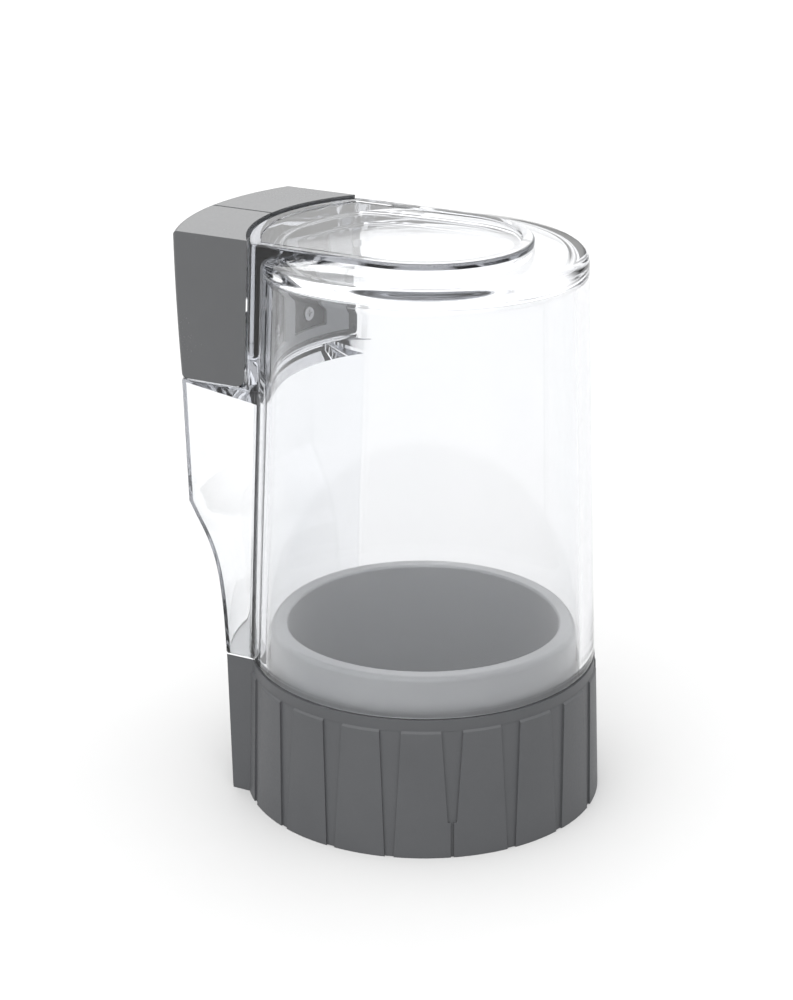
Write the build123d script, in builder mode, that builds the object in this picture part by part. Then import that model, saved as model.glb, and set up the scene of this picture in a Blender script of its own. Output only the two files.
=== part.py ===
"""Clear canister of a magnetic system filter, with its grip collar and magnet pack.

Frame: origin on the canister axis at the plane it stands on, +Z up, +X to the front,
-X to the rear, where the spine and the magnet pack are. All sizes are in millimetres.
"""
import os
from math import cos, radians, sin

from build123d import *

os.makedirs("parts", exist_ok=True)

# ---------------------------------------------------------------- driving dimensions
collar_height = 43.0          # grip collar, from the standing plane to its top edge
collar_base_radius = 54.0
collar_top_radius = 52.0      # of the plain band above the grip panels
panel_taper = 0.037           # radius that the panels lose for each millimetre of height
panel_relief = 0.6            # the grip panels stand this far proud of the collar
panel_top = 39.0              # the panels stop short of the collar's top edge
groove_pitch = 19.65          # degrees between the grooves that part the panels
groove_count = 14
first_groove = -131.6         # degrees from the front, next to the rear wing
groove_top_width = 6.4
groove_base_width = 2.6
index_groove = 4              # this groove stops above the base: the alignment mark
index_stop = 11.0
index_slit = 0.9

wall = 4.0                    # moulded clear wall
shoulder_height = 43.5        # the clear wall's lower edge, above the collar
shoulder_radius = 51.85
bowl_taper = 0.0361           # radius lost for each millimetre of height
rim_height = 168.0            # outer edge of the closed top
dome_height = 170.0           # where the dome meets the raised platform
crown_height = 170.4
platform_height = 171.8
platform_half_width = 31.6
platform_border = 3.6
platform_recess = 0.5

skirt_base = 20.0             # the clear skirt that hangs inside the collar
skirt_outer_radius = 50.0
skirt_inner_radius = 47.9
snap_groove_low = 21.4        # groove in the skirt for the ring that keeps the collar on
snap_groove_high = 23.2
snap_groove_radius = 49.0

sleeve_bore_radius = 40.9
sleeve_rim_height = 54.3
sleeve_rim_radius = 46.2
sleeve_spigot_radius = 46.4
seal_section = 2.4            # cord diameter of both seals

spine_half_width_top = 31.4   # side planes lean out a little towards the base
spine_half_width_shoulder = 32.3
spine_wall = 1.4
spine_foot_radius = 59.6
wing_half_width_base = 34.3
wing_top_back_radius = 59.5
wing_base_back_radius = 58.6
web_thickness = 3.3           # pocket wall carried on the outside of the bowl
ledge_top = 128.1
ledge_underside = 126.9       # at the back; it slopes down towards the bowl
ledge_slope = 3.3

pack_base = 128.4
pack_top = 172.5
pack_front_radius_base = 52.8
pack_front_radius_top = 51.2
pack_back_radius_base = 71.2
pack_back_radius_mid = 72.3
pack_back_radius_top = 72.75
pack_half_width = 31.4
cover_wall = 2.5
front_plate_thickness = 1.6
front_plate_margin = 2.9
front_base_rounding = 2.6
seam_width = 0.7              # shadow groove where the two cover halves meet
seam_depth = 1.2
window_angles = (4.0, 23.0)   # openings in the front plate, from the rear centre line
window_margin = 3.0
window_inner = 45.0           # the openings are cut between these two radii
window_outer = 60.0

magnet_width = 9.0
magnet_depth = 5.0
magnet_height = 32.0
magnet_radius = 57.6
magnet_angles = (-24.0, -8.0, 8.0, 24.0)   # about the rear centre line
pack_middle = (pack_base + pack_top) / 2


def bowl_radius(height):
    """Outer radius of the clear bowl at a height."""
    return shoulder_radius - bowl_taper * (height - shoulder_height)


def side_half_width(height):
    """Half the distance between the spine's two side planes at a height."""
    share = (height - shoulder_height) / (pack_top - shoulder_height)
    return spine_half_width_shoulder + share * (spine_half_width_top - spine_half_width_shoulder)


def turned(*corners, mode=Mode.ADD):
    """A closed profile of straight runs in the XZ plane, turned once about the axis."""
    with BuildSketch(Plane.XZ) as profile:
        with BuildLine():
            Polyline(*corners, close=True)
        make_face()
    revolve(profile.sketch, axis=Axis.Z, mode=mode)


def keep_between_sides(low, high, half_low, half_high, front=-10.0, back=-85.0):
    """Keep only what lies between two side planes, behind the axis."""
    with BuildSketch(Plane.YZ.offset(back)) as slab:
        with BuildLine():
            Polyline((-half_low, low), (half_low, low), (half_high, high), (-half_high, high), close=True)
        make_face()
    extrude(slab.sketch, amount=front - back, mode=Mode.INTERSECT)


def save(part, name):
    """Label a finished piece and write it under its own name."""
    part.label = name
    export_step(part, f"parts/{name}.step")


# ---------------------------------------------------------------- clear canister
def spine_section(inset, low, high, slope=0.0):
    """Section through the spine: the bowl's flank in front, the S-shaped back behind."""
    with BuildSketch(Plane.XZ) as section:
        with BuildLine():
            foot = Line((bowl_radius(low) - 1, low), (spine_foot_radius - inset, low))
            lower = Spline(
                foot @ 1, (60.6 - inset, 61.5), (62.9 - inset, 74.8), (66.4 - inset, 84.0),
                tangents=[(0.02, 1), (0.5, 0.86)],
            )
            shoulder = Line(lower @ 1, (69.9 - inset, 90.3))
            flank = Line(shoulder @ 1, (71.1 - inset, high))
            ceiling = Line(flank @ 1, (bowl_radius(high) - 1, high - slope))
            Line(ceiling @ 1, foot @ 0)
        make_face()
    return section.sketch


with BuildPart() as rear_spine:
    revolve(spine_section(0, shoulder_height, ledge_top), axis=Axis.Z)
    keep_between_sides(
        shoulder_height, ledge_top, side_half_width(shoulder_height), side_half_width(ledge_top)
    )

with BuildPart() as spine_hollow:
    revolve(spine_section(spine_wall, shoulder_height, ledge_underside, ledge_slope), axis=Axis.Z)
    keep_between_sides(
        shoulder_height, ledge_underside,
        side_half_width(shoulder_height) - spine_wall, side_half_width(ledge_underside) - spine_wall,
    )

with BuildPart() as pocket_wall:
    turned(
        (bowl_radius(ledge_underside) - 1, ledge_underside),
        (bowl_radius(ledge_underside) + web_thickness, ledge_underside),
        (bowl_radius(platform_height) + web_thickness, platform_height),
        (bowl_radius(platform_height) - 1, platform_height),
    )
    keep_between_sides(
        ledge_underside, platform_height,
        side_half_width(ledge_underside), side_half_width(platform_height),
    )

with BuildPart() as platform:
    with BuildSketch(Plane.XY.offset(rim_height - 1.5)):
        with Locations((-30, 0)):
            Rectangle(60, 2 * platform_half_width)
        Circle(platform_half_width)
        Circle(bowl_radius(platform_height) + web_thickness, mode=Mode.INTERSECT)
    extrude(amount=platform_height - rim_height + 1.5)
    brow = platform.edges().group_by(Axis.Z)[-1].sort_by(Axis.X)[1:]
    fillet(brow, 0.8)
    with BuildSketch(Plane.XY.offset(platform_height)):
        with Locations((-23, 0)):
            Rectangle(46, 2 * (platform_half_width - platform_border))
        Circle(platform_half_width - platform_border)
    extrude(amount=-platform_recess, mode=Mode.SUBTRACT)

with BuildPart() as clear_canister:
    turned(
        (0, crown_height), (platform_half_width, dome_height),
        (bowl_radius(rim_height) - 0.4, rim_height), (shoulder_radius, shoulder_height),
        (0, shoulder_height),
    )
    top_edge = clear_canister.edges().filter_by(GeomType.CIRCLE).filter_by(
        lambda edge: abs(edge.center().Z - rim_height) < 0.1
    )
    fillet(top_edge, 2.8)
    add(rear_spine.part)
    add(spine_hollow.part, mode=Mode.SUBTRACT)
    turned(
        (0, crown_height - wall), (bowl_radius(rim_height) - 3, rim_height - wall),
        (shoulder_radius, shoulder_height), (0, shoulder_height),
    )
    add(pocket_wall.part)
    add(platform.part)
    turned(
        (skirt_outer_radius, shoulder_height + 3), (skirt_outer_radius, skirt_base),
        (skirt_inner_radius - 3, skirt_base), (skirt_inner_radius - 3, shoulder_height + 3),
    )
    turned(
        (0, crown_height - wall), (platform_half_width, dome_height - wall),
        (bowl_radius(rim_height) - wall, rim_height - wall), (shoulder_radius - wall, shoulder_height),
        (skirt_inner_radius, skirt_base), (0, skirt_base),
        mode=Mode.SUBTRACT,
    )
    turned(
        (snap_groove_radius, snap_groove_low), (skirt_outer_radius + 1, snap_groove_low),
        (skirt_outer_radius + 1, snap_groove_high), (snap_groove_radius, snap_groove_high),
        mode=Mode.SUBTRACT,
    )
save(clear_canister.part, "clear_canister")

# ---------------------------------------------------------------- inner sleeve and its seals
sleeve_seat_radius = skirt_inner_radius - 0.15
gland_depth = 2.5
upper_gland = 31.0
lower_gland = 7.0

with BuildPart() as inner_sleeve:
    with BuildSketch(Plane.XZ):
        with BuildLine():
            Polyline(
                (sleeve_bore_radius, 0), (sleeve_spigot_radius, 0),
                (sleeve_spigot_radius, lower_gland), (sleeve_spigot_radius - gland_depth, lower_gland),
                (sleeve_spigot_radius - gland_depth, lower_gland + seal_section + 0.8),
                (sleeve_spigot_radius, lower_gland + seal_section + 0.8),
                (sleeve_spigot_radius, skirt_base), (sleeve_seat_radius, skirt_base + 1.5),
                (sleeve_seat_radius, upper_gland), (sleeve_seat_radius - gland_depth, upper_gland),
                (sleeve_seat_radius - gland_depth, upper_gland + seal_section + 0.6),
                (sleeve_seat_radius, upper_gland + seal_section + 0.6),
                (sleeve_seat_radius, shoulder_height - 4), (sleeve_rim_radius + 0.3, shoulder_height - 2),
                (sleeve_rim_radius, sleeve_rim_height), (sleeve_bore_radius, sleeve_rim_height),
                close=True,
            )
        make_face()
    revolve(axis=Axis.Z)
    rim_edges = inner_sleeve.edges().filter_by(GeomType.CIRCLE).group_by(Axis.Z)[-1].sort_by(SortBy.RADIUS)
    fillet(rim_edges[-1], 1.6)
    fillet(rim_edges[0], 0.8)
save(inner_sleeve.part, "inner_sleeve")


def seal_ring(centre_radius, centre_height):
    """A round-section rubber ring, centred on the axis."""
    with BuildSketch(Plane.XZ) as section:
        with Locations((centre_radius, centre_height)):
            Circle(seal_section / 2)
    revolve(section.sketch, axis=Axis.Z)


with BuildPart() as sleeve_seal:
    seal_ring(sleeve_seat_radius - gland_depth / 2, upper_gland + seal_section / 2 + 0.3)
save(sleeve_seal.part, "sleeve_seal")

with BuildPart() as spigot_seal:
    spigot_seal_radius = sleeve_spigot_radius - gland_depth + seal_section / 2 + 0.05
    seal_ring(spigot_seal_radius, lower_gland + seal_section / 2 + 0.4)
save(spigot_seal.part, "spigot_seal")

slip_low = collar_height + 0.1
slip_recess = 1.0             # leaves a shadow line under the clear wall

with BuildPart() as slip_foot:
    turned(
        (skirt_outer_radius + 0.5, slip_low), (spine_foot_radius - 0.1, slip_low),
        (spine_foot_radius - 0.1, shoulder_height), (skirt_outer_radius + 0.5, shoulder_height),
    )
    slip_half_width = side_half_width(slip_low) - 0.1
    keep_between_sides(slip_low, shoulder_height, slip_half_width, slip_half_width)

with BuildPart() as slip_ring:
    turned(
        (skirt_outer_radius + 0.02, slip_low), (shoulder_radius - slip_recess, slip_low),
        (shoulder_radius - slip_recess, shoulder_height), (skirt_outer_radius + 0.02, shoulder_height),
    )
    add(slip_foot.part)
save(slip_ring.part, "slip_ring")

with BuildPart() as retaining_ring:
    turned(
        (snap_groove_radius + 0.02, snap_groove_low + 0.1), (51.2, snap_groove_low + 0.1),
        (51.2, snap_groove_high - 0.1), (snap_groove_radius + 0.02, snap_groove_high - 0.1),
    )
    with BuildSketch(Plane.XY.offset(snap_groove_low)):
        with Locations((snap_groove_radius + 1, 0)):
            Rectangle(8, 6)
    extrude(amount=3, mode=Mode.SUBTRACT)
save(retaining_ring.part, "retaining_ring")

# ---------------------------------------------------------------- grip collar
flange_inner_radius = skirt_outer_radius + 0.3
flange_base = snap_groove_high + 0.8
cavity_radius = 51.6
lug_inner_radius = 48.9
lug_low, lug_high = 4.0, 9.0
lug_width = 20.0


def groove_angles():
    """Angles, in degrees from the front, of the grooves that part the grip panels."""
    return [first_groove + groove_pitch * number for number in range(groove_count)]


with BuildPart() as wing:
    turned((40, 0), (wing_base_back_radius, 0), (wing_top_back_radius, collar_height), (40, collar_height))
    keep_between_sides(0, collar_height, wing_half_width_base, side_half_width(collar_height))


def collar_radius(height):
    """Radius of the grip panels' faces at a height: a plain cone."""
    return collar_base_radius - panel_taper * height


with BuildPart() as grooves:
    for number, angle in enumerate(groove_angles()):
        stop = index_stop if number == index_groove else -1
        outward = (cos(radians(angle)), sin(radians(angle)), 0)
        across = Plane(origin=(0, 0, 0), x_dir=(-outward[1], outward[0], 0), z_dir=outward).offset(60)
        with BuildSketch(across):
            with BuildLine():
                Polyline(
                    (-groove_base_width / 2, stop), (groove_base_width / 2, stop),
                    (groove_top_width / 2, panel_top + 1), (-groove_top_width / 2, panel_top + 1),
                    close=True,
                )
            make_face()
            if number == index_groove:
                with Locations((0, stop / 2 - 1)):
                    Rectangle(index_slit, stop + 2.5)
    extrude(amount=-15)
    turned(
        (collar_radius(-2) - panel_relief, -2), (collar_radius(-2) + 9, -2),
        (collar_radius(panel_top) + 9, panel_top + 0.5),
        (collar_radius(panel_top) - panel_relief, panel_top + 0.5), mode=Mode.INTERSECT,
    )

with BuildPart() as grip_collar:
    turned(
        (flange_inner_radius, 0), (collar_radius(0), 0), (collar_radius(panel_top), panel_top),
        (collar_radius(panel_top) - panel_relief, panel_top + 0.6), (collar_top_radius, collar_height),
        (flange_inner_radius, collar_height),
    )
    add(grooves.part, mode=Mode.SUBTRACT)
    add(wing.part)
    turned((0, -1), (flange_inner_radius, -1), (flange_inner_radius, 60), (0, 60), mode=Mode.SUBTRACT)
    turned(
        (40, -1), (cavity_radius, -1), (cavity_radius, flange_base), (40, flange_base), mode=Mode.SUBTRACT
    )
    with BuildSketch(Plane.XY.offset(lug_low)):
        with PolarLocations(cavity_radius - 1, 4, start_angle=45):
            Rectangle(2 * (cavity_radius - lug_inner_radius) + 1, lug_width)
        Circle(cavity_radius + 0.5, mode=Mode.INTERSECT)
        Circle(lug_inner_radius, mode=Mode.SUBTRACT)
    extrude(amount=lug_high - lug_low)
save(grip_collar.part, "grip_collar")

# ---------------------------------------------------------------- magnet pack
def pack_body(inset):
    """The pack's outer shape, shrunk by an inset on its back, top, base and sides."""
    low, high = pack_base + inset, pack_top - inset
    with BuildSketch(Plane.XZ) as section:
        with BuildLine():
            front = Line((pack_front_radius_base, low), (pack_front_radius_top, high))
            back = ThreePointArc(
                (pack_back_radius_base - inset, low), (pack_back_radius_mid - inset, pack_middle),
                (pack_back_radius_top - inset, high),
            )
            Line(front @ 0, back @ 0)
            Line(front @ 1, back @ 1)
        make_face()
    revolve(section.sketch, axis=Axis.Z)
    keep_between_sides(low, high, pack_half_width - inset, pack_half_width - inset)


with BuildPart() as pack_shape:
    pack_body(0)
    back_edges = pack_shape.faces().sort_by(Axis.X)[0].edges()
    fillet(back_edges, 1.6)
    front_base_edge = pack_shape.edges().filter_by(GeomType.CIRCLE).filter_by(
        lambda edge: abs(edge.radius - pack_front_radius_base) < 0.1
    )
    fillet(front_base_edge, front_base_rounding)

with BuildPart() as pack_hollow:
    pack_body(cover_wall)
    turned(
        (pack_front_radius_top - 3, pack_base + front_plate_margin),
        (pack_front_radius_base + 1, pack_base + front_plate_margin),
        (pack_front_radius_base + 1, pack_top - front_plate_margin),
        (pack_front_radius_top - 3, pack_top - front_plate_margin),
    )
    keep_between_sides(
        pack_base + cover_wall, pack_top - cover_wall,
        pack_half_width - cover_wall, pack_half_width - cover_wall,
    )

dowel_heights = (pack_base + 8.5, pack_top - 8.5)
dowel_x = -66.6
dowel_radius = 1.5
dowel_length = 12.0
boss_radius = 3.2

with BuildPart() as seam_core:
    pack_body(seam_depth)

with BuildPart() as seam_groove:
    with BuildSketch(Plane.XZ.offset(-seam_width / 2)):
        with Locations((-60, pack_middle)):
            Rectangle(40, pack_top - pack_base + 6)
    extrude(amount=seam_width)
    add(seam_core.part, mode=Mode.SUBTRACT)

with BuildPart() as cover_shell:
    add(pack_shape.part)
    add(pack_hollow.part, mode=Mode.SUBTRACT)
    with BuildSketch(Plane.XZ.offset(-8.5)):
        with Locations(*[(dowel_x, height) for height in dowel_heights]):
            Circle(boss_radius)
    extrude(amount=17)
    with BuildSketch(Plane.XZ.offset(-dowel_length / 2)):
        with Locations(*[(dowel_x, height) for height in dowel_heights]):
            Circle(dowel_radius + 0.02)
    extrude(amount=dowel_length, mode=Mode.SUBTRACT)
    add(seam_groove.part, mode=Mode.SUBTRACT)

for side, name in ((1, "rear_cover_left"), (-1, "rear_cover_right")):
    with BuildPart() as rear_cover:
        add(cover_shell.part)
        split(bisect_by=Plane.XZ, keep=Keep.BOTTOM if side > 0 else Keep.TOP)
    save(rear_cover.part, name)

with BuildPart() as seam_dowels:
    with BuildSketch(Plane.XZ.offset(-dowel_length / 2 + 0.1)):
        with Locations(*[(dowel_x, height) for height in dowel_heights]):
            Circle(dowel_radius)
    extrude(amount=dowel_length - 0.2)
save(seam_dowels.part, "seam_dowels")


def curved_plate(inner_radius, thickness, half_width, low, high, lean=0.0):
    """A plate bent about the canister axis, leaning in by a radius over its height."""
    turned(
        (inner_radius, low), (inner_radius + thickness, low),
        (inner_radius + thickness - lean, high), (inner_radius - lean, high),
    )
    keep_between_sides(low, high, half_width, half_width)


def radial_plane(angle, radius, height=0.0):
    """A plane facing out from the axis, at an angle from the rear centre line."""
    turn = radians(180 + angle)
    return Plane(
        origin=(radius * cos(turn), radius * sin(turn), height),
        x_dir=(-sin(turn), cos(turn), 0), z_dir=(cos(turn), sin(turn), 0),
    )


def rear_point(angle, radius):
    """A point in plan at an angle from the rear centre line."""
    return (radius * cos(radians(180 + angle)), radius * sin(radians(180 + angle)))


plate_low = pack_base + front_plate_margin + 0.1
plate_high = pack_top - front_plate_margin - 0.1
front_taper = (pack_front_radius_base - pack_front_radius_top) / (pack_top - pack_base)
plate_lean = front_taper * (plate_high - plate_low)
plate_face_radius = pack_front_radius_base - 0.1
screw_angles = (-14.3, 14.3)
screw_heights = (pack_middle - 11.0, pack_middle + 11.0)
screw_head_radius = 2.4
screw_shank_radius = 1.2
screw_root = 0.3              # the shank reaches this far up into the head
screw_length = 5.8
screw_head_height = 1.5
screw_seat_gap = 0.08
cross_length = 2.8            # cross recess in each screw's head
cross_width = 0.6
cross_depth = 0.7

with BuildPart() as front_plate:
    curved_plate(
        plate_face_radius, front_plate_thickness, pack_half_width - cover_wall - 0.1,
        plate_low, plate_high, plate_lean,
    )
    for side in (1, -1):
        with BuildSketch(Plane.XY.offset(plate_low + window_margin)):
            with BuildLine():
                near, far = (side * angle for angle in window_angles)
                inner = RadiusArc(
                    rear_point(near, window_inner), rear_point(far, window_inner), side * window_inner
                )
                outer = RadiusArc(
                    rear_point(near, window_outer), rear_point(far, window_outer), side * window_outer
                )
                Line(inner @ 0, outer @ 0)
                Line(inner @ 1, outer @ 1)
            make_face()
    extrude(amount=plate_high - plate_low - 2 * window_margin, mode=Mode.SUBTRACT)
save(front_plate.part, "front_plate")

carrier_inner_radius = 54.6
carrier_outer_radius = 60.4
carrier_half_width = 28.3
carrier_low, carrier_high = pack_base + 4.0, pack_top - 4.0

with BuildPart() as magnet_carrier:
    curved_plate(
        carrier_inner_radius, carrier_outer_radius - carrier_inner_radius, carrier_half_width,
        carrier_low, carrier_high,
    )
    for angle in magnet_angles:
        with BuildSketch(radial_plane(angle, magnet_radius - magnet_depth / 2 - 0.1, pack_middle)):
            Rectangle(magnet_width + 0.2, magnet_height + 0.2)
    extrude(amount=magnet_depth + 4, mode=Mode.SUBTRACT)
    for angle in screw_angles:
        for height in screw_heights:
            with BuildSketch(radial_plane(angle, carrier_inner_radius - 2, height)):
                Circle(screw_shank_radius + 0.02)
    extrude(amount=10, mode=Mode.SUBTRACT)
save(magnet_carrier.part, "magnet_carrier")

for number, angle in enumerate(magnet_angles, start=1):
    with BuildPart() as magnet:
        with BuildSketch(radial_plane(angle, magnet_radius - magnet_depth / 2, pack_middle)):
            Rectangle(magnet_width, magnet_height)
        extrude(amount=magnet_depth)
        fillet(magnet.edges().filter_by(Axis.Z), 0.6)
    save(magnet.part, f"magnet_bar_{number}")

with BuildPart() as yoke_plate:
    curved_plate(carrier_outer_radius + 0.3, 1.5, 26.0, carrier_low + 1, carrier_high - 1)
save(yoke_plate.part, "yoke_plate")

with BuildPart() as backing_pad:
    curved_plate(carrier_outer_radius + 1.9, 1.0, 22.0, carrier_low + 3, carrier_high - 3)
save(backing_pad.part, "backing_pad")

with BuildPart() as plate_screws:
    for angle in screw_angles:
        for height in screw_heights:
            with BuildSketch(radial_plane(angle, carrier_inner_radius - screw_head_height, height)):
                Circle(screw_head_radius)
    extrude(amount=screw_head_height - screw_seat_gap)
    for angle in screw_angles:
        for height in screw_heights:
            with BuildSketch(radial_plane(angle, carrier_inner_radius - screw_root, height)):
                Circle(screw_shank_radius)
    extrude(amount=screw_length)
    for angle in screw_angles:
        for height in screw_heights:
            with BuildSketch(radial_plane(angle, carrier_inner_radius - screw_head_height - 1, height)):
                Rectangle(cross_length, cross_width)
                Rectangle(cross_width, cross_length)
    extrude(amount=1 + cross_depth, mode=Mode.SUBTRACT)
save(plate_screws.part, "plate_screws")

nub_radius = 2.0
nub_height = 153.4
nub_width = 2.2
nub_reach = 0.45
nub_x = -41.8


def pack_front_radius(height):
    """Radius of the pack's front face at a height."""
    return pack_front_radius_base - front_taper * (height - pack_base)


with BuildPart() as detent_nubs:
    for side in (1, -1):
        with BuildSketch(Plane.XZ.offset(-side * (pack_half_width - nub_width / 2))):
            with Locations((nub_x, nub_height)):
                Circle(nub_radius)
    extrude(amount=nub_width / 2, both=True)
    nub_low, nub_high = nub_height - nub_radius - 1, nub_height + nub_radius + 1
    turned(
        (pack_front_radius(nub_low) - nub_reach, nub_low), (pack_front_radius(nub_low), nub_low),
        (pack_front_radius(nub_high), nub_high), (pack_front_radius(nub_high) - nub_reach, nub_high),
        mode=Mode.INTERSECT,
    )
save(detent_nubs.part, "detent_nubs")
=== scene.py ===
"""Looks of the clear filter canister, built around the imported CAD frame."""
import math

import bmesh
import bpy
import numpy as np
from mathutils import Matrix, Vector


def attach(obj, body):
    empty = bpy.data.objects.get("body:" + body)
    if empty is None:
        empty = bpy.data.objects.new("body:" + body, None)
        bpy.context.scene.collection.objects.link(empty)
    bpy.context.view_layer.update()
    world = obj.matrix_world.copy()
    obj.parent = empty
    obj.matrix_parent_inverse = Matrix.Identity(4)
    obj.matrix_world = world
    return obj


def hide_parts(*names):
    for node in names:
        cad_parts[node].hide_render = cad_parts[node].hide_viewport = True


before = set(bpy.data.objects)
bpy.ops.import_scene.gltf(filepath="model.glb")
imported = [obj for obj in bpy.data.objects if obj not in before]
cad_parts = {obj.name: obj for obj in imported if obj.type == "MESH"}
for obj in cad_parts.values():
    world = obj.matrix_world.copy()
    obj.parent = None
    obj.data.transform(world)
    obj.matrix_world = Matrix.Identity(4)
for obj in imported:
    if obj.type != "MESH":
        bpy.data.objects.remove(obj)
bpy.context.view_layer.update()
MM = 0.001

# ---------------------------------------------------------------- sizes, in millimetres
# bowl and skirt
SHOULDER_Z = 43.5
SHOULDER_R = 51.85
BOWL_TAPER = 0.0361
WALL = 4.0
SKIRT_R = 50.0
SKIRT_INNER_R = 47.9
SKIRT_BASE = 20.0
SKIRT_CHAMFER = 0.3

# closed top with its raised D
CROWN_Z = 170.4
TAPER_TOP_Z = 150.0
SHOULDER_ROUND = 3.3
SHOULDER_ROUND_Z = 164.9
PLATFORM_Z = 171.8
PLATFORM_HALF = 31.6
PLATFORM_EDGE = 0.8
PLATFORM_BORDER = 3.6
PLATFORM_RECESS = 0.5
CAVITY_ROUND = 4.0
CAVITY_ROUND_Z = 160.2

# spine, ledge and pocket
SPINE_WALL = 1.4
SPINE_HALF_LOW = 32.3
SPINE_HALF_HIGH = 31.4
SPINE_CORNER = 0.4
SPINE_ROOT_ROUND = 2.0
KNEE_Z = 90.3
PACK_TOP = 172.5
LEDGE_Z = 128.1
LEDGE_EDGE = 0.6
LEDGE_UNDER = 126.9
LEDGE_SLOPE = 3.3
SLOPE_START_Z = 94.0
POCKET_FILLET = 2.4
WEB = 3.3
WEB_EDGE = 0.8
HOLD = 0.2
HOLLOW_BASE = 40.0
HOLLOW_OVERLAP = 0.05
HOLLOW_POINTS = 121


def bowl_r(z):
    """Radius of the tapered bowl's outside at a height."""
    return SHOULDER_R - BOWL_TAPER * (z - SHOULDER_Z)


def half_width(z):
    """Half the spine's width at a height."""
    share = (z - SHOULDER_Z) / (PACK_TOP - SHOULDER_Z)
    return SPINE_HALF_LOW + share * (SPINE_HALF_HIGH - SPINE_HALF_LOW)


def smooth_max(a, b, k):
    """The larger of two values, rounded over a width k where they cross."""
    h = np.clip(0.5 + 0.5 * (a - b) / k, 0, 1)
    return b * (1 - h) + a * h + k * h * (1 - h)


def smooth_min(a, b, k):
    """The smaller of two values, rounded in the same way."""
    return -smooth_max(-a, -b, k)


# Points (height, radius) of the spine's back.
BACK_PROFILE = (
    (43.5, 59.6), (52.0, 60.0), (61.5, 60.65), (69.4, 61.65), (76.1, 63.3), (81.4, 65.4),
    (86.0, 67.75), (90.3, 69.9), (128.1, 71.1),
)


def back_r(z):
    """Radius of the spine's back at a height: a smooth S up to the knee, straight above it."""
    heights, radii = (np.array(column) for column in zip(*BACK_PROFILE))
    if z >= KNEE_Z:
        return float(np.interp(z, heights, radii))
    heights, radii = heights[:-1], radii[:-1]
    slopes = np.gradient(radii, heights)
    i = int(np.clip(np.searchsorted(heights, z) - 1, 0, len(heights) - 2))
    span = heights[i + 1] - heights[i]
    t = np.clip((z - heights[i]) / span, 0, 1)
    return float(
        (2 * t**3 - 3 * t**2 + 1) * radii[i] + (t**3 - 2 * t**2 + t) * span * slopes[i]
        + (3 * t**2 - 2 * t**3) * radii[i + 1] + (t**3 - t**2) * span * slopes[i + 1]
    )


def loft_rows(name, rows):
    """Closed rows of points joined one to the next; single points close the ends."""
    verts, faces, starts = [], [], []
    for points in rows:
        starts.append(len(verts))
        verts.extend(points)
    for a, b, ra, rb in zip(starts, starts[1:], rows, rows[1:]):
        na, nb = len(ra), len(rb)
        n = max(na, nb)
        for i in range(n):
            j = (i + 1) % n
            if na == 1:
                faces.append((a, b + i, b + j))
            elif nb == 1:
                faces.append((a + i, b, a + j))
            else:
                faces.append((a + i, b + i, b + j, a + j))
    mesh = bpy.data.meshes.new(name)
    mesh.from_pydata(verts, [], faces)
    mesh.validate()
    mesh.update()
    obj = bpy.data.objects.new(name, mesh)
    bpy.context.scene.collection.objects.link(obj)
    return obj


# Degrees from a rear corner of the spine to the columns that round it.
CORNER_STEPS = np.array([-0.4, -0.22, -0.13, -0.08, -0.04, 0, 0.04, 0.08, 0.13, 0.22, 0.4])


def turns(z):
    """Angles about the axis at a height, 0 at the rear; their columns follow the spine's rear corners."""
    height = float(np.clip(z, SHOULDER_Z, LEDGE_Z))
    corner = math.degrees(math.asin(half_width(height) / back_r(height)))
    half = np.concatenate([
        np.linspace(0, corner - 0.8, 36), corner + CORNER_STEPS, np.linspace(corner + 0.8, 34.5, 20),
        np.linspace(34.6, 40.6, 61), np.linspace(41, 48, 22), np.linspace(48.6, 179.4, 175),
    ])
    return np.radians(np.concatenate([-half[:0:-1], half, [180]]))


def row(r, z):
    """Points round the axis at a height, from one radius or from a radius for each angle."""
    angle = turns(z)
    return [(-MM * rr * math.cos(t), -MM * rr * math.sin(t), MM * z) for rr, t in zip(r + 0 * angle, angle)]


def level(r, z):
    """The same radius at each angle of a row."""
    return np.full_like(turns(z), r)


def side_r(half, z):
    """Distance along each angle to a side plane."""
    return half / np.maximum(np.abs(np.sin(turns(z))), 0.001)


def spine_outline(z):
    """Outer outline of the clear moulding at a height below the ledge."""
    spine = smooth_min(side_r(half_width(z), z), level(back_r(z), z), SPINE_CORNER)
    return smooth_max(level(bowl_r(z), z), np.where(np.cos(turns(z)) > 0, spine, 0), SPINE_ROOT_ROUND)


def platform_outline(z, inset=0.0):
    """The raised D on the top: round in front, straight sides, and a web at the rear."""
    half = PLATFORM_HALF - inset
    body = np.where(np.cos(turns(z)) > 0, side_r(half, z), half)
    return smooth_min(body, level(bowl_r(z) + WEB - inset, z), WEB_EDGE)


def web_outline(z, body):
    """Outline above the ledge: a round body with the platform's sides and web standing out of it."""
    return smooth_max(level(body, z), platform_outline(z), WEB_EDGE)


def ledge_outline(z, inset):
    """The spine's outline drawn in by an inset, but never inside the wall above the ledge."""
    return np.maximum(web_outline(z, bowl_r(z)), spine_outline(z) - inset)


def pocket_outline(z, swell):
    """The wall above the ledge, swollen by its foot fillet as far as the ledge reaches."""
    return np.minimum(web_outline(z, bowl_r(z)) + swell, ledge_outline(z, LEDGE_EDGE + HOLD))


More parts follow.
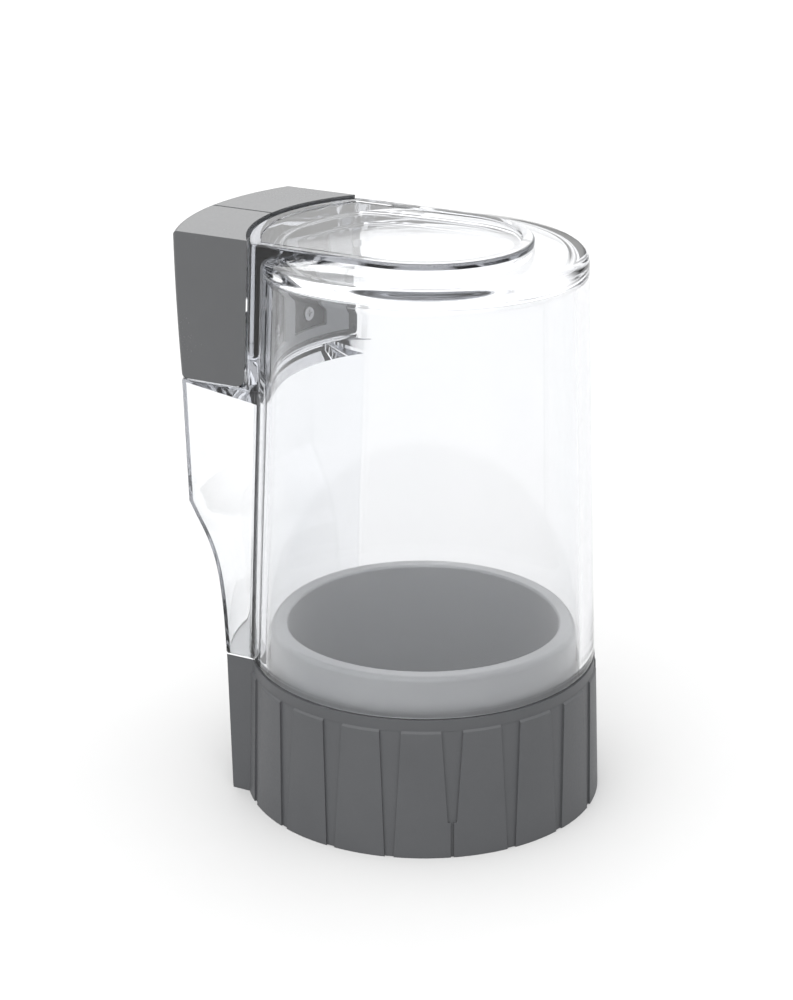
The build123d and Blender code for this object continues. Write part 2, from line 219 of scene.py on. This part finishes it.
def top_profile():
    """Points (radius, height) of the closed top from the crown out and down to the taper."""
    pts = [(0.5, CROWN_Z), (PLATFORM_HALF - 1, 170.05), (36.0, 169.55), (40.0, 169.0), (43.0, 168.4)]
    centre = bowl_r(165.0) - SHOULDER_ROUND
    for a in np.radians(np.arange(72, -1, -9)):
        pts.append((centre + SHOULDER_ROUND * math.cos(a), SHOULDER_ROUND_Z + SHOULDER_ROUND * math.sin(a)))
    pts.append((bowl_r(TAPER_TOP_Z), TAPER_TOP_Z))
    return pts


TOP_PROFILE = top_profile()


def dome_r(z):
    """Radius of the closed top's outside at a height: shallow dome, round shoulder, taper."""
    return np.interp(-z, [-p[1] for p in TOP_PROFILE], [p[0] for p in TOP_PROFILE])


def platform_rows():
    """The raised D from its middle: a slightly sunk field, a border and a rounded edge."""
    sunk = PLATFORM_Z - PLATFORM_RECESS
    field = PLATFORM_BORDER + 0.3
    rows = [[(0, 0, MM * sunk)]]
    for share in (0.25, 0.5, 0.75, 0.95, 1.0):
        rows.append(row(platform_outline(PLATFORM_Z, field) * share, sunk))
    for inset, drop in ((0.1, 0.42), (-0.1, 0.08), (-0.3, 0)):
        rows.append(row(platform_outline(PLATFORM_Z, PLATFORM_BORDER + inset), PLATFORM_Z - drop))
    rows.append(row(platform_outline(PLATFORM_Z, PLATFORM_EDGE + 0.1), PLATFORM_Z))
    for a in np.radians(np.arange(10, 91, 10)):
        inset = PLATFORM_EDGE * (1 - math.sin(a))
        z = PLATFORM_Z - PLATFORM_EDGE * (1 - math.cos(a))
        rows.append(row(platform_outline(PLATFORM_Z, inset), z))
    return rows


def ledge_rows():
    """From the wall above the ledge through its foot fillet and the flat to the ledge's rounded edge."""
    rows = []
    for a in np.radians([0, *range(11, 90, 11)]):
        z = LEDGE_Z + POCKET_FILLET * (1 - math.sin(a))
        rows.append(row(pocket_outline(z, POCKET_FILLET * (1 - math.cos(a))), z))
    rows.append(row(pocket_outline(LEDGE_Z, POCKET_FILLET + HOLD), LEDGE_Z))
    rows.append(row(ledge_outline(LEDGE_Z, LEDGE_EDGE + HOLD), LEDGE_Z))
    for a in np.radians(np.arange(0, 91, 15)):
        z = LEDGE_Z - LEDGE_EDGE * (1 - math.cos(a))
        rows.append(row(ledge_outline(z, LEDGE_EDGE * (1 - math.sin(a))), z))
    return rows


# Heights of the rows from the knee down the S curve, shared by the spine's outside and its hollow.
CURVE_ROWS = np.concatenate([np.linspace(90.9, 89.7, 5), np.linspace(89.3, 44.1, 76)])


def canister_rows():
    """The clear moulding from the middle of its top, down the outside, and up the inside of the bowl."""
    rows = platform_rows()
    heights = [p[1] for p in TOP_PROFILE[1:-1]]
    for z in (*heights, *np.linspace(164.0, LEDGE_Z + POCKET_FILLET, 24)):
        rows.append(row(web_outline(z, dome_r(z) if z > TAPER_TOP_Z else bowl_r(z)), z))
    rows += ledge_rows()
    for z in (LEDGE_Z - LEDGE_EDGE - HOLD, *np.linspace(126, 91.2, 16), *CURVE_ROWS):
        rows.append(row(spine_outline(z), z))
    rows.append(row(spine_outline(SHOULDER_Z + 0.3) - 0.1, SHOULDER_Z + 0.3))
    rows.append(row(spine_outline(SHOULDER_Z) - 0.4, SHOULDER_Z))
    rows.append(row(SKIRT_R + SKIRT_CHAMFER, SHOULDER_Z))
    rows.append(row(SKIRT_R, SHOULDER_Z - SKIRT_CHAMFER))
    rows.append(row(SKIRT_R, SKIRT_BASE + SKIRT_CHAMFER))
    rows.append(row(SKIRT_R - SKIRT_CHAMFER, SKIRT_BASE))
    rows.append(row(SKIRT_INNER_R + SKIRT_CHAMFER, SKIRT_BASE))
    rows.append(row(SKIRT_INNER_R, SKIRT_BASE + SKIRT_CHAMFER))
    rows.append(row(SHOULDER_R - WALL, SHOULDER_Z))
    for z in np.linspace(60, 158, 8):
        rows.append(row(bowl_r(z) - WALL, z))
    centre = bowl_r(160.0) - WALL - CAVITY_ROUND
    for a in np.radians(np.arange(0, 90, 8)):
        rows.append(row(centre + CAVITY_ROUND * math.cos(a), CAVITY_ROUND_Z + CAVITY_ROUND * math.sin(a)))
    rows.append(row(34.0, 165.0))
    rows.append(row(20.0, 165.5))
    rows.append([(0, 0, MM * 165.8)])
    return rows


def spine_hollow_rows():
    """Closed loops round the hollow of the spine, one for each height; the top slopes down in front."""
    rows = []
    for z in (HOLLOW_BASE, SHOULDER_Z, *CURVE_ROWS[::-1], *np.linspace(SLOPE_START_Z, LEDGE_UNDER, 12)):
        level_z = max(z, SHOULDER_Z)
        half = half_width(level_z) - SPINE_WALL
        back = back_r(level_z) - SPINE_WALL
        front = bowl_r(level_z) + HOLLOW_OVERLAP
        drop = LEDGE_SLOPE * max(z - SLOPE_START_Z, 0) / (LEDGE_UNDER - SLOPE_START_Z)
        back_turn, front_turn = math.asin(half / back), math.asin(half / front)
        loop = []
        for t in np.linspace(-back_turn, back_turn, HOLLOW_POINTS):
            loop.append((-MM * back * math.cos(t), -MM * back * math.sin(t), MM * z))
        for t in np.linspace(front_turn, -front_turn, HOLLOW_POINTS):
            loop.append((-MM * front * math.cos(t), -MM * front * math.sin(t), MM * (z - drop)))
        rows.append(loop)
    return rows


def cap_ends(obj, count):
    """Close the first and last loop of a loft, each of which folds along its middle."""
    mesh = bmesh.new()
    mesh.from_mesh(obj.data)
    mesh.verts.ensure_lookup_table()
    for start in (0, len(mesh.verts) - count):
        loop = [mesh.verts[start + i] for i in range(count)]
        for i in range(count // 2 - 1):
            mesh.faces.new((loop[i], loop[i + 1], loop[count - 2 - i], loop[count - 1 - i]))
    bmesh.ops.recalc_face_normals(mesh, faces=mesh.faces)
    mesh.to_mesh(obj.data)
    mesh.free()


def outward(obj):
    """Turn every face of a closed mesh to the outside."""
    mesh = bmesh.new()
    mesh.from_mesh(obj.data)
    bmesh.ops.recalc_face_normals(mesh, faces=mesh.faces)
    mesh.to_mesh(obj.data)
    mesh.free()


def cut_away(obj, tool):
    """Subtract one closed mesh from another and drop the tool."""
    cut = obj.modifiers.new("cut", "BOOLEAN")
    cut.operation = "DIFFERENCE"
    cut.solver = "EXACT"
    cut.object = tool
    bpy.context.view_layer.update()
    graph = bpy.context.evaluated_depsgraph_get()
    result = bpy.data.meshes.new_from_object(obj.evaluated_get(graph))
    obj.modifiers.clear()
    obj.data = result
    bpy.data.objects.remove(tool)


def smooth_faces(obj, corner):
    """Shade smooth, keeping edges sharper than a corner angle in degrees."""
    for poly in obj.data.polygons:
        poly.use_smooth = True
    obj.data.set_sharp_from_angle(angle=math.radians(corner))


# ---------------------------------------------------------------- materials
CLEAR_DENSITY = 190
FLOOR_LOW = (0.532, 0.532, 0.532)
FLOOR_HIGH = (0.542, 0.542, 0.542)


class Look:
    """A procedural material: a principled shader with noise fields to drive it."""

    def __init__(self, name):
        self.mat = bpy.data.materials.new(name)
        self.mat.use_nodes = True
        self.tree = self.mat.node_tree
        self.shader = self.tree.nodes["Principled BSDF"]
        self.coord = self.tree.nodes.new("ShaderNodeTexCoord")

    def join(self, source, target):
        self.tree.links.new(source, target)

    def field(self, scale, detail=3.0, rough=0.5, stretch=(1, 1, 1)):
        """Noise from 0 to 1 with a scale in cycles for each metre of the object."""
        place = self.tree.nodes.new("ShaderNodeMapping")
        place.inputs["Scale"].default_value = stretch
        self.join(self.coord.outputs["Object"], place.inputs["Vector"])
        noise = self.tree.nodes.new("ShaderNodeTexNoise")
        noise.inputs["Scale"].default_value = scale
        noise.inputs["Detail"].default_value = detail
        noise.inputs["Roughness"].default_value = rough
        self.join(place.outputs["Vector"], noise.inputs["Vector"])
        return noise.outputs["Fac"]

    def spread(self, value, low, high, source_low=0.3, source_high=0.7):
        """Map a noise value to the range from low to high."""
        ranged = self.tree.nodes.new("ShaderNodeMapRange")
        ranged.inputs["From Min"].default_value = source_low
        ranged.inputs["From Max"].default_value = source_high
        ranged.inputs["To Min"].default_value = low
        ranged.inputs["To Max"].default_value = high
        self.join(value, ranged.inputs["Value"])
        return ranged.outputs["Result"]

    def total(self, a, b):
        add = self.tree.nodes.new("ShaderNodeMath")
        add.operation = "ADD"
        self.join(a, add.inputs[0])
        self.join(b, add.inputs[1])
        return add.outputs["Value"]

    def blend(self, factor, first, second):
        """A colour between two, by a factor."""
        mix = self.tree.nodes.new("ShaderNodeMix")
        mix.data_type = "RGBA"
        mix.inputs[6].default_value = (*first, 1)
        mix.inputs[7].default_value = (*second, 1)
        self.join(factor, mix.inputs[0])
        return mix.outputs[2]

    def relief(self, height, depth, strength=1.0, edge=0.0):
        """Bump from a height field, in metres, over edges rounded by a radius."""
        bump = self.tree.nodes.new("ShaderNodeBump")
        bump.inputs["Strength"].default_value = strength
        bump.inputs["Distance"].default_value = depth
        self.join(height, bump.inputs["Height"])
        if edge:
            bevel = self.tree.nodes.new("ShaderNodeBevel")
            bevel.samples = 4
            bevel.inputs["Radius"].default_value = edge
            self.join(bevel.outputs["Normal"], bump.inputs["Normal"])
        self.join(bump.outputs["Normal"], self.shader.inputs["Normal"])

    def set(self, **values):
        for key, value in values.items():
            self.shader.inputs[key.replace("_", " ")].default_value = value


def clear_plastic():
    """Polished clear moulding: faint flow waves, a trace of handling haze, darker the longer the path."""
    look = Look("clear_plastic")
    look.set(IOR=1.49, Transmission_Weight=1.0)
    depth = look.tree.nodes.new("ShaderNodeVolumeAbsorption")
    depth.inputs["Color"].default_value = (0.933, 0.935, 0.940, 1)
    depth.inputs["Density"].default_value = CLEAR_DENSITY
    look.join(depth.outputs["Volume"], look.tree.nodes["Material Output"].inputs["Volume"])
    flow = look.field(22, detail=1.0, stretch=(1, 1, 0.35))
    haze = look.field(70, detail=4.0)
    tint = look.blend(look.spread(flow, 0, 1), (0.972, 0.978, 0.986), (0.992, 0.994, 0.998))
    look.join(tint, look.shader.inputs["Base Color"])
    look.join(look.spread(haze, 0.008, 0.03), look.shader.inputs["Roughness"])
    look.relief(flow, 0.000008, strength=0.2)
    return look.mat


def moulded_plastic(name, dark, light, rough, depth=0.00002, edge=0.0003, sheen=0.5, vary=0.03):
    """Fine textured moulding: mottled colour, spark-eroded grain and softened edges."""
    look = Look(name)
    look.set(IOR=1.5, Specular_IOR_Level=sheen)
    mottle = look.field(45, detail=5.0, rough=0.6)
    skin = look.field(1400, detail=2.0)
    look.join(look.blend(look.spread(mottle, 0, 1), dark, light), look.shader.inputs["Base Color"])
    gloss = look.total(look.spread(mottle, rough - vary, rough + vary), look.spread(skin, -vary, vary))
    look.join(gloss, look.shader.inputs["Roughness"])
    look.relief(skin, depth, edge=edge)
    return look.mat


def rubber(name, dark, light, scale):
    """Matt black rubber with a patchy bloom and fine pores."""
    look = Look(name)
    bloom = look.field(120, detail=5.0)
    pores = look.field(scale, detail=3.0, rough=0.7)
    look.join(look.blend(look.spread(bloom, 0, 1), dark, light), look.shader.inputs["Base Color"])
    look.join(look.spread(bloom, 0.55, 0.8), look.shader.inputs["Roughness"])
    look.relief(pores, 0.0001)
    return look.mat


def metal(name, dark, light, rough, stretch, scale=900):
    """Plated steel with fine drawn lines along one direction."""
    look = Look(name)
    look.set(Metallic=1.0)
    lines = look.field(scale, detail=3.0, stretch=stretch)
    stain = look.field(90, detail=4.0)
    look.join(look.blend(look.spread(stain, 0, 1), dark, light), look.shader.inputs["Base Color"])
    gloss = look.total(look.spread(lines, rough - 0.06, rough + 0.06), look.spread(stain, -0.03, 0.05))
    look.join(gloss, look.shader.inputs["Roughness"])
    look.relief(lines, 0.00002, edge=0.00015)
    return look.mat


def floor_look():
    """Matt paper with faint clouding and tooth."""
    look = Look("floor_pale")
    paper = look.field(8, detail=4.0)
    look.join(look.blend(look.spread(paper, 0, 1), FLOOR_LOW, FLOOR_HIGH), look.shader.inputs["Base Color"])
    look.join(look.spread(paper, 0.85, 0.95), look.shader.inputs["Roughness"])
    look.relief(look.field(700), 0.00002)
    return look.mat


# ---------------------------------------------------------------- clear moulding
CREASE_ANGLE = 35
canister = loft_rows("canister_moulding", canister_rows())
spine_hollow = loft_rows("spine_hollow", spine_hollow_rows())
cap_ends(spine_hollow, 2 * HOLLOW_POINTS)
outward(canister)
cut_away(canister, spine_hollow)
smooth_faces(canister, CREASE_ANGLE)
canister.data.materials.clear()
canister.data.materials.append(clear_plastic())
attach(canister, "canister")
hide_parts("clear_canister")

# ---------------------------------------------------------------- looks of the frame's pieces
SEAL_BLACK = ((0.015, 0.015, 0.017), (0.028, 0.028, 0.03))
COVER = moulded_plastic(
    "cover_plastic", (0.052, 0.054, 0.057), (0.058, 0.060, 0.063), 0.24, depth=0.000003, sheen=0.8,
)
STEEL = metal("dowel_steel", (0.45, 0.45, 0.46), (0.6, 0.6, 0.61), 0.3, (1, 1, 1))
MAGNET = metal("magnet_metal", (0.62, 0.62, 0.63), (0.74, 0.74, 0.75), 0.2, (1, 1, 0.05))
looks = {
    "grip_collar": moulded_plastic(
        "collar_plastic", (0.060, 0.062, 0.066), (0.067, 0.069, 0.073), 0.5, sheen=0.4,
    ),
    "inner_sleeve": moulded_plastic(
        "sleeve_plastic", (0.365, 0.373, 0.383), (0.38, 0.388, 0.398), 0.3,
        depth=0.000002, sheen=0.6, vary=0.008,
    ),
    "rear_cover_left": COVER,
    "rear_cover_right": COVER,
    "front_plate": moulded_plastic("carrier_plastic", (0.52, 0.53, 0.54), (0.58, 0.59, 0.60), 0.4),
    "magnet_carrier": moulded_plastic("carrier_core", (0.05, 0.051, 0.055), (0.065, 0.066, 0.07), 0.5),
    "sleeve_seal": rubber("seal_rubber", *SEAL_BLACK, 1800),
    "spigot_seal": rubber("seal_rubber_low", *SEAL_BLACK, 1800),
    "backing_pad": rubber("pad_rubber", (0.04, 0.04, 0.044), (0.07, 0.07, 0.074), 900),
    "slip_ring": moulded_plastic("slip_plastic", (0.84, 0.85, 0.86), (0.88, 0.89, 0.9), 0.25),
    "retaining_ring": metal("ring_steel", (0.52, 0.52, 0.53), (0.64, 0.64, 0.65), 0.28, (1, 1, 6)),
    "yoke_plate": metal("yoke_steel", (0.38, 0.38, 0.39), (0.5, 0.5, 0.51), 0.35, (1, 1, 0.06)),
    "seam_dowels": STEEL,
    "plate_screws": STEEL,
    "detent_nubs": moulded_plastic("nub_plastic", (0.7, 0.71, 0.72), (0.8, 0.81, 0.82), 0.2),
}
for name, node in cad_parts.items():
    if name != "clear_canister":
        node.data.materials.clear()
        node.data.materials.append(MAGNET if name.startswith("magnet_bar") else looks[name])

# ---------------------------------------------------------------- floor, light, camera
FLOOR_SIZE = 12
bpy.ops.mesh.primitive_plane_add(size=FLOOR_SIZE)
floor = bpy.context.object
floor.name = "floor"
floor.data.materials.append(floor_look())


def studio_world(low, high, boxes):
    """White all round, brighter overhead, with large soft boxes given as direction, width and strength."""
    world = bpy.data.worlds.new("studio")
    world.use_nodes = True
    tree = world.node_tree
    coord = tree.nodes.new("ShaderNodeTexCoord").outputs["Generated"]

    def ramp(value, start, end, dark, light):
        ranged = tree.nodes.new("ShaderNodeMapRange")
        ranged.interpolation_type = "SMOOTHSTEP"
        for key, number in zip(("From Min", "From Max", "To Min", "To Max"), (start, end, dark, light)):
            ranged.inputs[key].default_value = number
        tree.links.new(value, ranged.inputs["Value"])
        return ranged.outputs["Result"]

    split = tree.nodes.new("ShaderNodeSeparateXYZ")
    tree.links.new(coord, split.inputs["Vector"])
    strength = ramp(split.outputs["Z"], 0.0, 0.7, low, high)
    for direction, edge, light in boxes:
        facing = tree.nodes.new("ShaderNodeVectorMath")
        facing.operation = "DOT_PRODUCT"
        facing.inputs[1].default_value = Vector(direction).normalized()
        tree.links.new(coord, facing.inputs[0])
        total = tree.nodes.new("ShaderNodeMath")
        total.operation = "ADD"
        tree.links.new(strength, total.inputs[0])
        tree.links.new(ramp(facing.outputs["Value"], edge, 0.98, 0.0, light), total.inputs[1])
        strength = total.outputs["Value"]
    tree.links.new(strength, tree.nodes["Background"].inputs["Strength"])
    tree.nodes["Background"].inputs["Color"].default_value = (1, 1, 1, 1)
    return world


KEY_BOX = ((0.10, -0.88, 0.45), 0.6, 1.2)
REAR_BOX = ((-0.46, 0.82, 0.36), 0.88, 0.6)
LIGHT_BOUNCES = 32
CAMERA_PLACE = (0.3374, -0.6429, 0.3595)
CAMERA_AIM = Vector((-0.4451, 0.8256, -0.3469))
CAMERA_LENS = 93.64

scene = bpy.context.scene
scene.world = studio_world(0.3, 2.1, (KEY_BOX, REAR_BOX))
scene.view_settings.view_transform = "Standard"
scene.cycles.max_bounces = LIGHT_BOUNCES
scene.cycles.transmission_bounces = LIGHT_BOUNCES
scene.cycles.glossy_bounces = LIGHT_BOUNCES

camera_data = bpy.data.cameras.new("camera")
camera_data.lens = CAMERA_LENS
camera_data.clip_start = 0.05
camera = bpy.data.objects.new("camera", camera_data)
scene.collection.objects.link(camera)
camera.location = CAMERA_PLACE
camera.rotation_mode = "QUATERNION"
camera.rotation_quaternion = CAMERA_AIM.to_track_quat("-Z", "Y")
scene.camera = camera
